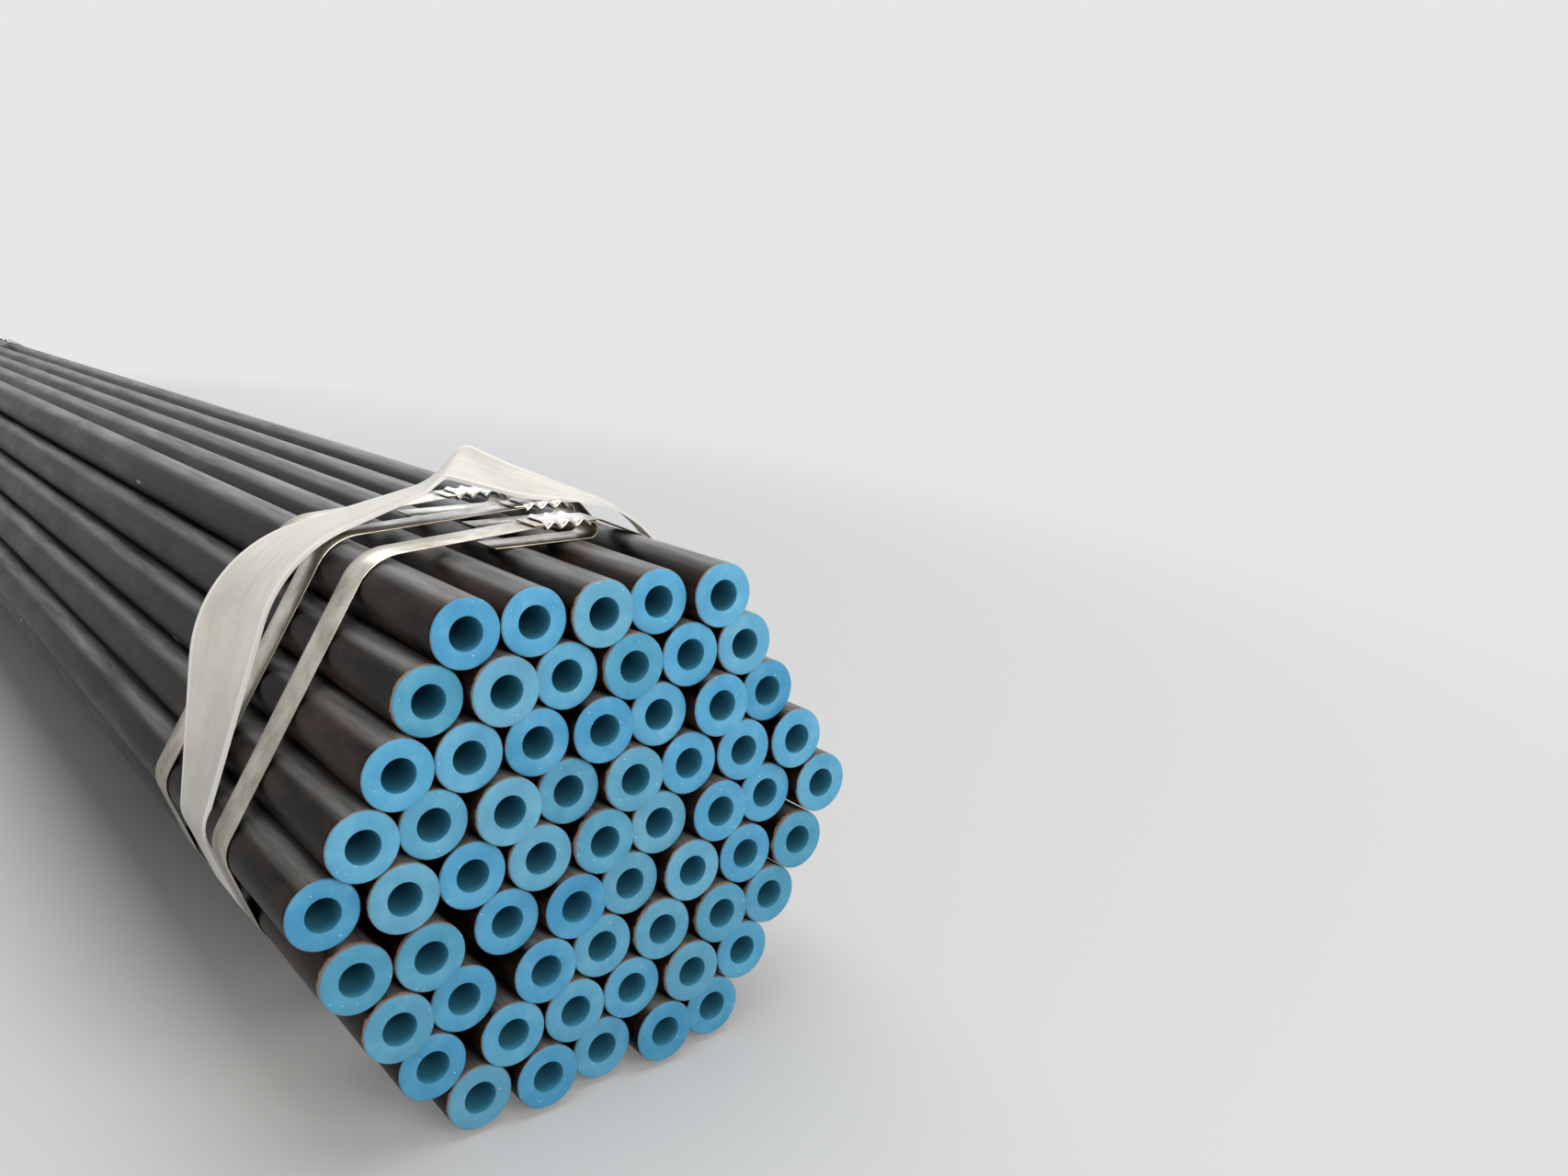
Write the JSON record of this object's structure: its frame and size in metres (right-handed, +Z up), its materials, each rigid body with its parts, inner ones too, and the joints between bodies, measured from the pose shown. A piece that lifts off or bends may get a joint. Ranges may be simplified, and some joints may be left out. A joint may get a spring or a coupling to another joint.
{
  "type": "bundle of steel pipes",
  "caption": "Hexagonal bundle of thick-walled steel pipes, painted on their cut ends, held by crimped steel straps, with a webbing lifting sling round each end.",
  "frame": {"origin": "on the floor, under the middle of the bundle, halfway along the pipes", "axes": "+Y along the pipes, away from the end that the picture shows; +Z up; +X to the right when looking along +Y"},
  "size_m": [0.4533, 6.01, 0.4481],
  "materials": {
    "pipe_lacquer": "satin black lacquer, sky blue on the cut ends",
    "strap_steel": "bright rolled strip, slightly tarnished",
    "seal_steel": "bright, crimped",
    "sling_webbing": "woven polyester webbing, slightly soiled"
  },
  "bodies": {
    "root": {"pipes_row_1": "pipe_lacquer", "pipes_row_2": "pipe_lacquer", "pipes_row_3": "pipe_lacquer", "pipes_row_4": "pipe_lacquer", "pipes_row_5": "pipe_lacquer", "pipes_row_6": "pipe_lacquer", "pipes_row_7": "pipe_lacquer", "pipes_row_8": "pipe_lacquer", "pipes_row_9": "pipe_lacquer", "steel_strap_1": "strap_steel", "steel_strap_2": "strap_steel", "steel_strap_3": "strap_steel", "steel_strap_4": "strap_steel", "steel_strap_5": "strap_steel", "steel_strap_6": "strap_steel", "steel_strap_7": "strap_steel", "steel_strap_8": "strap_steel", "strap_seal_1": "seal_steel", "strap_seal_2": "seal_steel", "strap_seal_3": "seal_steel", "strap_seal_4": "seal_steel", "strap_seal_5": "seal_steel", "strap_seal_6": "seal_steel", "strap_seal_7": "seal_steel", "strap_seal_8": "seal_steel", "lifting_sling_near": "sling_webbing", "lifting_sling_far": "sling_webbing"}
  },
  "joints": []
}
